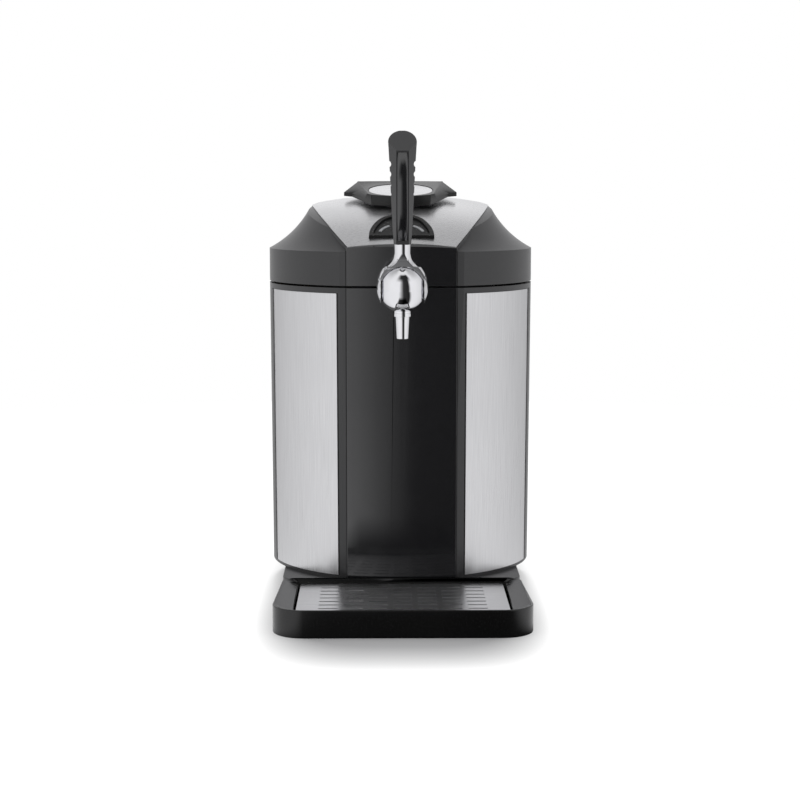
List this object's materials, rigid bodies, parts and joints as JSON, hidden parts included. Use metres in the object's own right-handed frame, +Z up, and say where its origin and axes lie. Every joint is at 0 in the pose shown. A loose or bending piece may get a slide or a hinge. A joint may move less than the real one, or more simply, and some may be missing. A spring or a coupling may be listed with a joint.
{
  "type": "mini keg beer dispenser",
  "caption": "Counter-top cooled dispenser for small party kegs: round body, hinged lid with lock knob, ball tap with lever, slide-out drip tray.",
  "frame": {"origin": "on the table, under the middle of the overall box", "axes": "+Z up, -Y towards the tap and drip tray, +X to the viewer's right"},
  "size_m": [0.274, 0.441, 0.468],
  "materials": {
    "black_shell": "fine-grained matte black plastic",
    "gloss_black": "piano-black gloss plastic",
    "brushed_steel": "vertically brushed stainless steel",
    "chrome": "polished chrome plate",
    "silver_paint": "satin silver",
    "aluminium": "plain aluminium",
    "rubber": "soft dark rubber",
    "foam": "rigid insulating foam",
    "dark_plastic": "plain dark plastic",
    "grey_plastic": "light grey key plastic",
    "board": "green circuit board",
    "brass": "turned brass",
    "lens": "dark tinted display lens"
  },
  "bodies": {
    "base": {"body_shell": "black_shell", "side_panel_left": "brushed_steel", "side_panel_right": "brushed_steel", "front_panel": "gloss_black", "base_pedestal": "black_shell", "rubber_foot_1": "rubber", "rubber_foot_2": "rubber", "rubber_foot_3": "rubber", "rubber_foot_4": "rubber", "keg_liner": "aluminium", "insulation": "foam", "top_deck": "dark_plastic", "gas_sleeve": "dark_plastic", "gas_cartridge": "silver_paint", "gas_regulator": "brass", "cold_block": "aluminium", "cooling_chip": "grey_plastic", "heat_sink": "aluminium", "fan_frame": "dark_plastic", "rear_cover": "black_shell", "power_inlet": "dark_plastic", "power_switch_case": "dark_plastic", "power_board": "board", "tap_body": "chrome", "tap_escutcheon": "chrome", "tap_nut": "brass", "spout": "chrome", "lever_pivot_pin": "chrome", "hinge_pin": "brushed_steel", "hinge_bracket": "black_shell", "latch_keeper_left": "dark_plastic", "latch_keeper_right": "dark_plastic"},
    "lid": {"lid_shell": "black_shell", "lid_lug_left": "black_shell", "lid_lug_right": "black_shell", "lid_top_panel": "brushed_steel", "lid_front_panel": "gloss_black", "lid_pan": "dark_plastic", "lid_seal": "rubber", "knob_seat_ring": "dark_plastic", "control_bezel": "black_shell", "control_fascia": "dark_plastic", "display_lens": "lens", "control_board": "board"},
    "knob": {"lid_knob": "black_shell", "knob_disc": "brushed_steel", "latch_gear": "dark_plastic"},
    "bolt_left": {"latch_bolt_left": "grey_plastic"},
    "bolt_right": {"latch_bolt_right": "grey_plastic"},
    "key_left": {"button_left": "grey_plastic"},
    "key_right": {"button_right": "grey_plastic"},
    "lever": {"lever_yoke": "chrome", "tap_handle": "black_shell", "handle_inlay": "gloss_black"},
    "plunger": {"valve_plunger": "brushed_steel"},
    "tray": {"drip_tray": "black_shell"},
    "grille": {"drip_grille": "brushed_steel"},
    "fan": {"fan_rotor": "dark_plastic"},
    "rocker": {"power_rocker": "gloss_black"},
    "pressure_knob": {"regulator_knob": "dark_plastic"}
  },
  "joints": [
    {"name": "lid_hinge", "type": "hinge", "parent": "base", "child": "lid", "pos_m": [0, 0.1955, 0.325], "axis": [-1, 0, 0], "range_deg": [0, 88]},
    {"name": "knob_turn", "type": "hinge", "parent": "lid", "child": "knob", "pos_m": [0, 0.0355, 0.40023], "axis": [0, 0.1785, -0.9839], "range_deg": [0, 90]},
    {"name": "bolt_left_slide", "type": "slide", "parent": "lid", "child": "bolt_left", "axis": [-1, 0, 0], "range_m": [0, 0.0142]},
    {"name": "bolt_right_slide", "type": "slide", "parent": "lid", "child": "bolt_right", "axis": [1, 0, 0], "range_m": [0, 0.0142]},
    {"name": "key_left_press", "type": "slide", "parent": "lid", "child": "key_left", "axis": [0, 0.4023, -0.9155], "range_m": [0, 0.0012], "stiffness_N_per_m": 400},
    {"name": "key_right_press", "type": "slide", "parent": "lid", "child": "key_right", "axis": [0, 0.4023, -0.9155], "range_m": [0, 0.0012], "stiffness_N_per_m": 400},
    {"name": "tap_lever", "type": "hinge", "parent": "base", "child": "lever", "pos_m": [0, -0.1385, 0.319], "axis": [1, 0, 0], "range_deg": [0, 40]},
    {"name": "valve_lift", "type": "slide", "parent": "base", "child": "plunger", "axis": [0, 0, 1], "range_m": [0, 0.006]},
    {"name": "tray_slide", "type": "slide", "parent": "base", "child": "tray", "axis": [0, -1, 0], "range_m": [0, 0.16]},
    {"name": "grille_lift", "type": "slide", "parent": "tray", "child": "grille", "axis": [0, 0, 1], "range_m": [0, 0.04]},
    {"name": "fan_spin", "type": "hinge", "parent": "base", "child": "fan", "pos_m": [0, 0.1935, 0.19], "axis": [0, 1, 0], "continuous": true},
    {"name": "switch_rock", "type": "hinge", "parent": "base", "child": "rocker", "pos_m": [0.03, 0.2125, 0.062], "axis": [1, 0, 0], "range_deg": [-8, 8]},
    {"name": "pressure_turn", "type": "hinge", "parent": "base", "child": "pressure_knob", "pos_m": [-0.0883, 0.1261, 0.325], "axis": [0, 0, 1], "range_deg": [0, 270]}
  ],
  "couplings": [
    {"joint": "bolt_left_slide", "follows": "knob_turn", "m_per_rad": 0.009},
    {"joint": "bolt_right_slide", "follows": "knob_turn", "m_per_rad": 0.009},
    {"joint": "valve_lift", "follows": "tap_lever", "m_per_rad": 0.0085}
  ]
}
